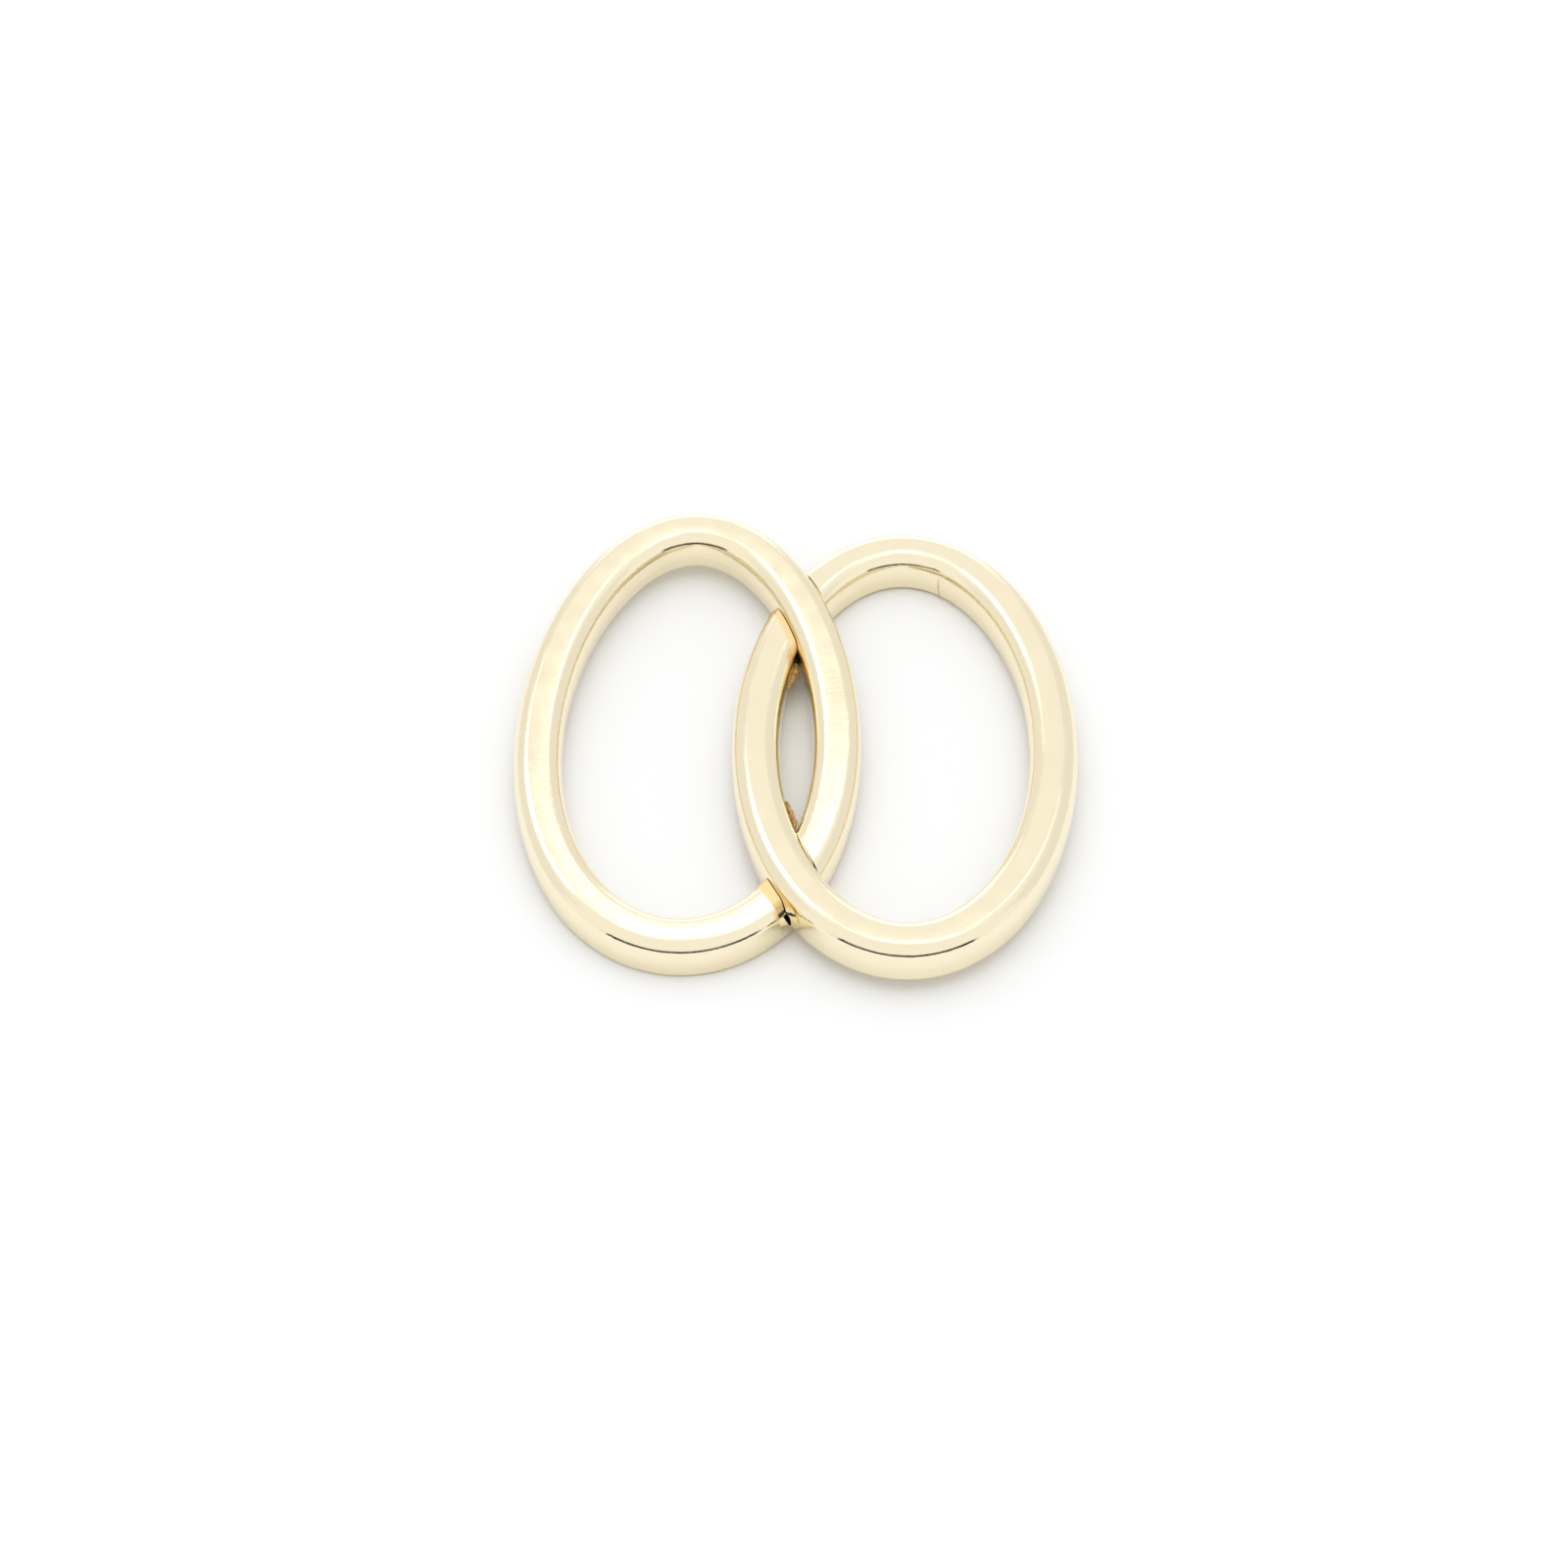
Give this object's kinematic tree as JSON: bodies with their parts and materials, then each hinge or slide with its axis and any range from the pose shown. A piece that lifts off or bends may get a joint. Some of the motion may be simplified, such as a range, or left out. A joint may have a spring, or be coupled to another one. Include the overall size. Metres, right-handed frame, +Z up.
{
  "type": "interlocked oval ring connector",
  "caption": "Polished pale gold oval metal rings, linked and lapped through each other, that join straps or fabric at their outer bars.",
  "frame": {"origin": "bottom centre of the pair's bounding box, on the surface that it lies on", "axes": "+X across the pair from the left ring to the right ring, +Y along the ovals to the end where the left ring passes over, +Z up"},
  "size_m": [0.0502, 0.0558, 0.0052],
  "materials": {
    "ring_metal": "polished pale gold plating on a fine cast surface",
    "solder": "plated solder, slightly duller"
  },
  "bodies": {
    "left_ring_body": {"left_ring": "ring_metal"},
    "right_ring_body": {"right_ring": "ring_metal", "right_ring_solder_seam": "solder"}
  },
  "joints": [
    {"name": "lap_hinge", "type": "hinge", "parent": "left_ring_body", "child": "right_ring_body", "pos_m": [0.00001, -0.00057, 0.00262], "axis": [0.0213, 0.9998, 0], "range_deg": [-1.2, 1.2]}
  ]
}
